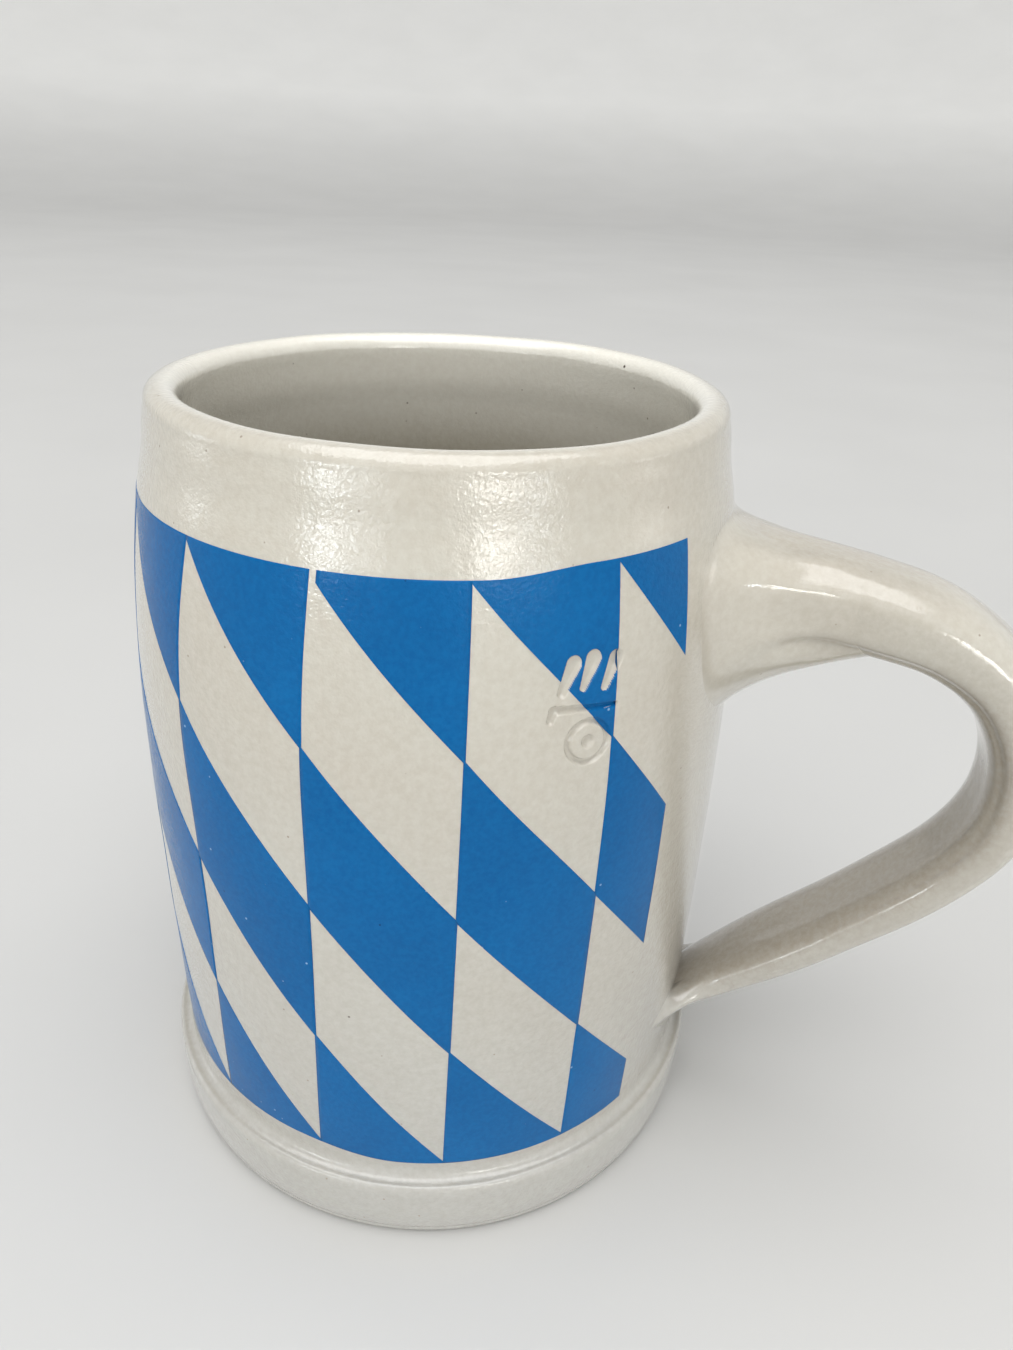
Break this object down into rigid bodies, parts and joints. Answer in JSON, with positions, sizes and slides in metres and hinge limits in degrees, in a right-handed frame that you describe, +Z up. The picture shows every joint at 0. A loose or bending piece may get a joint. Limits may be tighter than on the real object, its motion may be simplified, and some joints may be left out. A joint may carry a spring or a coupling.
{
  "type": "stoneware beer mug",
  "caption": "Barrel-shaped half-litre stoneware beer mug with a foot band, a pulled strap handle luted on at two roots, and a band of slanting blue enamel lozenges round the wall.",
  "frame": {"origin": "centre of the flat resting face, on the body's axis", "axes": "+Z up along the body's axis, +X towards the handle"},
  "size_m": [0.1451, 0.0982, 0.1276],
  "materials": {
    "stoneware_body": "salt-glazed warm grey-beige stoneware, fine orange-peel gloss with sparse iron specks",
    "stoneware_handle": "the same stoneware with a thicker, smoother and glossier glaze",
    "stoneware_root": "the same stoneware, thumbed smooth, with glaze pooled in the creases",
    "enamel_blue": "satin mid-blue on-glaze enamel with slight mottling"
  },
  "bodies": {
    "root": {"mug_body": "stoneware_body", "handle_strap": "stoneware_handle", "upper_root_collar": "stoneware_root", "lower_root_pad": "stoneware_root", "blue_lozenge_01_top": "enamel_blue", "blue_lozenge_01_middle": "enamel_blue", "blue_lozenge_01_bottom": "enamel_blue", "blue_lozenge_02_top": "enamel_blue", "blue_lozenge_02_middle": "enamel_blue", "blue_lozenge_02_bottom": "enamel_blue", "blue_lozenge_03_top": "enamel_blue", "blue_lozenge_03_middle": "enamel_blue", "blue_lozenge_03_bottom": "enamel_blue", "blue_lozenge_04_top": "enamel_blue", "blue_lozenge_04_middle": "enamel_blue", "blue_lozenge_04_bottom": "enamel_blue", "blue_lozenge_05_top": "enamel_blue", "blue_lozenge_05_middle": "enamel_blue", "blue_lozenge_05_bottom": "enamel_blue", "blue_lozenge_06_top": "enamel_blue", "blue_lozenge_06_middle": "enamel_blue", "blue_lozenge_06_bottom": "enamel_blue", "blue_lozenge_07_top": "enamel_blue", "blue_lozenge_07_middle": "enamel_blue", "blue_lozenge_07_bottom": "enamel_blue", "blue_lozenge_08_top": "enamel_blue", "blue_lozenge_08_middle": "enamel_blue", "blue_lozenge_08_bottom": "enamel_blue", "blue_lozenge_09_top": "enamel_blue", "blue_lozenge_09_middle": "enamel_blue", "blue_lozenge_09_bottom": "enamel_blue", "blue_lozenge_10_top": "enamel_blue", "blue_lozenge_10_middle": "enamel_blue", "blue_lozenge_10_bottom": "enamel_blue", "blue_lozenge_11_top": "enamel_blue", "blue_lozenge_11_middle": "enamel_blue", "blue_lozenge_11_bottom": "enamel_blue", "blue_lozenge_12_top": "enamel_blue", "blue_lozenge_12_middle": "enamel_blue", "blue_lozenge_12_bottom": "enamel_blue", "blue_lozenge_13_top": "enamel_blue", "blue_lozenge_13_middle": "enamel_blue", "blue_lozenge_13_bottom": "enamel_blue"}
  },
  "joints": []
}
